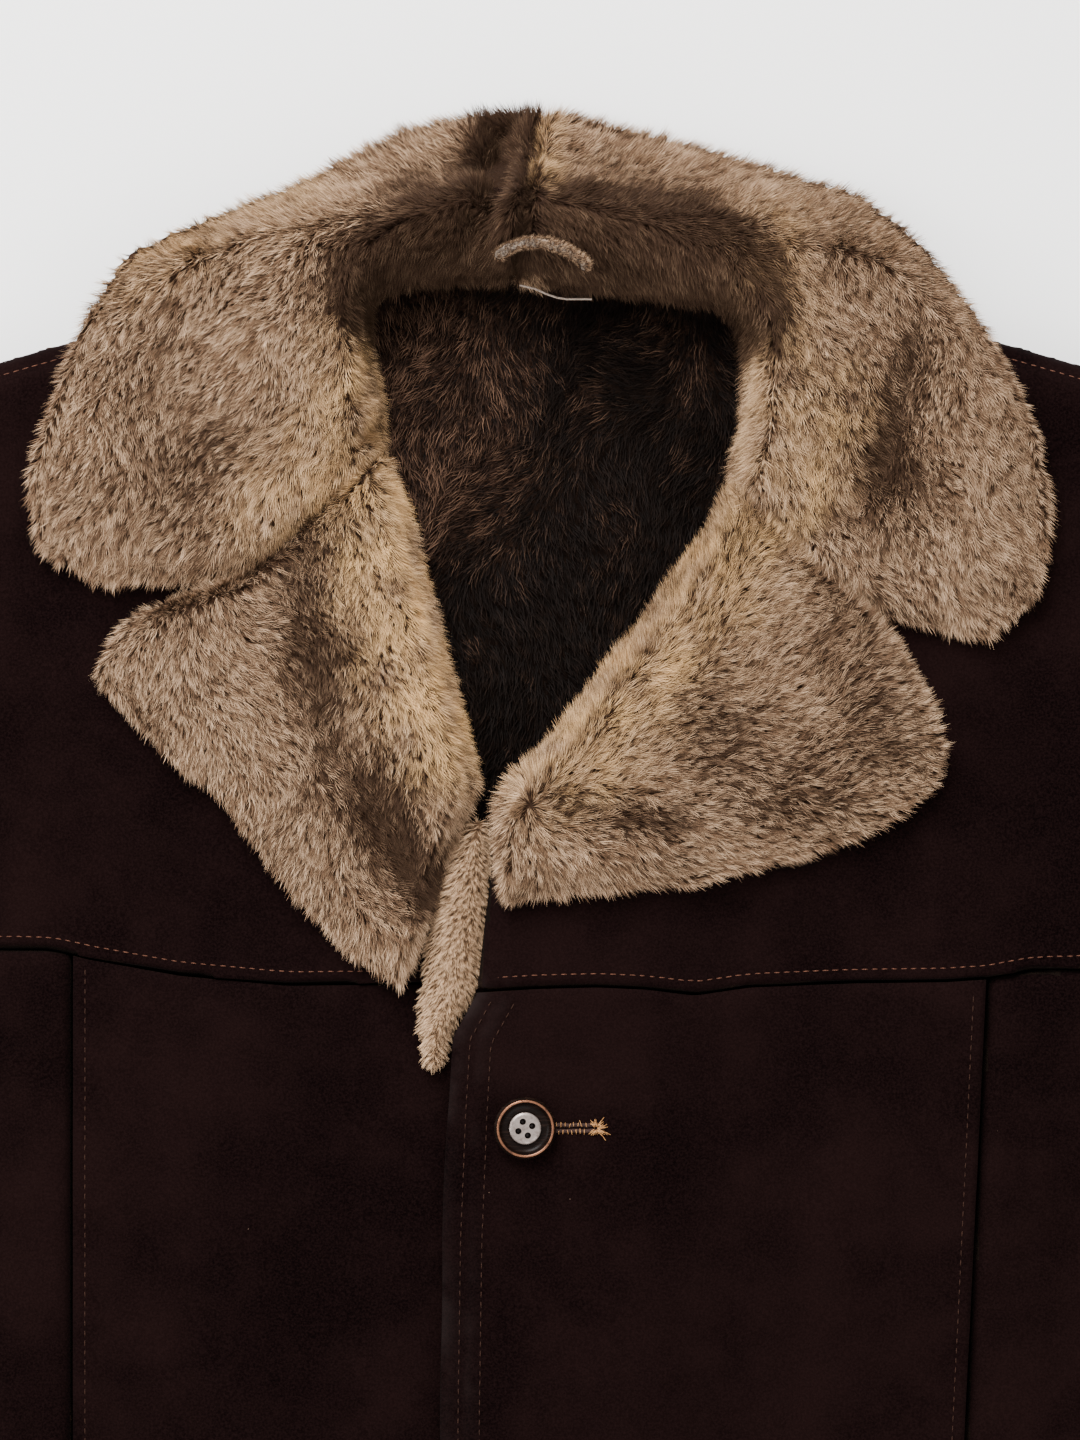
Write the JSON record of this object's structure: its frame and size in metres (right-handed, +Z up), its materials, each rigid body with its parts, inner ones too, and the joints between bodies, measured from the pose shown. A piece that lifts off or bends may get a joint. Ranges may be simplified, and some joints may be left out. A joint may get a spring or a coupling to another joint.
{
  "type": "shearling coat",
  "caption": "Single-breasted shearling coat lying on its back, suede outside, with a wide notched fur collar and lapels, yoke seams and buttoned front.",
  "frame": {"origin": "centre of the coat's outline, on the surface that its back lies on", "axes": "+X towards the wearer's left, +Y towards the collar, +Z up out of the front"},
  "size_m": [1.132, 0.8953, 0.062],
  "materials": {
    "suede": "napped suede",
    "beige_fur": "shearling pile",
    "loop_yarn": "fuzzy yarn",
    "horn": "satin, horn look",
    "button_disc": "pale silvery",
    "thread": "wound thread"
  },
  "bodies": {
    "root": {"back": "suede", "yoke_r": "suede", "yoke_l": "suede", "front_r": "suede", "front_l": "suede", "side_front_r": "suede", "side_front_l": "suede", "sleeve_top_r": "suede", "sleeve_top_l": "suede", "sleeve_under_r": "suede", "sleeve_under_l": "suede", "collar_r": "beige_fur", "collar_l": "beige_fur", "lapel_r": "beige_fur", "lapel_l": "beige_fur", "edge_strip": "beige_fur", "hanger_loop": "loop_yarn", "button_1": "horn", "button_centre_1": "button_disc", "button_shank_1": "thread", "button_2": "horn", "button_centre_2": "button_disc", "button_shank_2": "thread", "button_3": "horn", "button_centre_3": "button_disc", "button_shank_3": "thread"}
  },
  "joints": []
}
